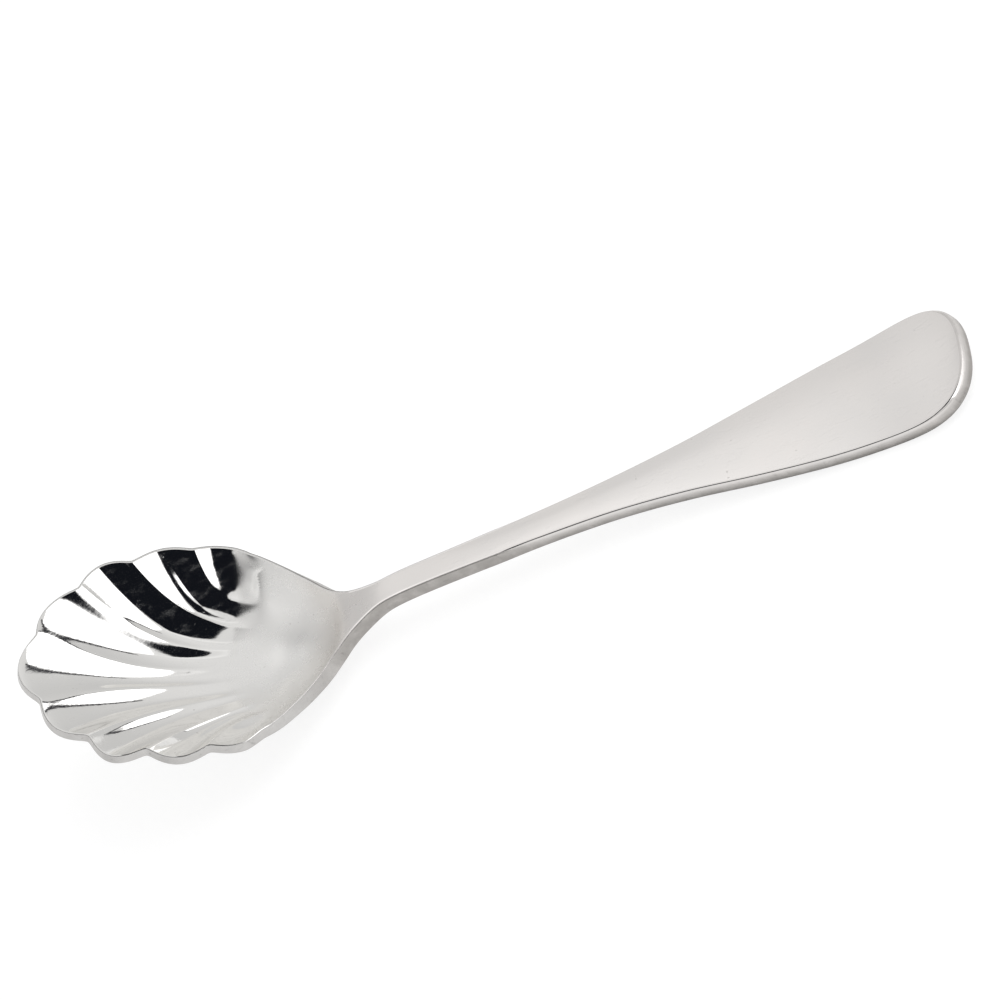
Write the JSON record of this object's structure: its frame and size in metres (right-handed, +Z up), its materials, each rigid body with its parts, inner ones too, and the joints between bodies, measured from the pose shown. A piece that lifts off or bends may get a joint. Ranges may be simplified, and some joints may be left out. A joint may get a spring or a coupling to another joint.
{
  "type": "sugar spoon",
  "caption": "Polished metal sugar spoon with a fluted, scallop-edged shell bowl, a short sagging neck and a plain handle that widens to a rounded end.",
  "frame": {"origin": "on the table under the middle of the spoon's length, with the spoon lying on the underside of its bowl and of its handle's end", "axes": "+X from the bowl towards the handle's end, +Z up, and Y across the spoon, which is the same on both sides of Y = 0"},
  "size_m": [0.1504, 0.0396, 0.0264],
  "materials": {
    "bowl_metal": "mirror polished",
    "shaft_metal": "polished, finely worn"
  },
  "bodies": {
    "root": {"bowl": "bowl_metal", "neck": "shaft_metal", "stem": "shaft_metal", "handle": "shaft_metal"}
  },
  "joints": []
}
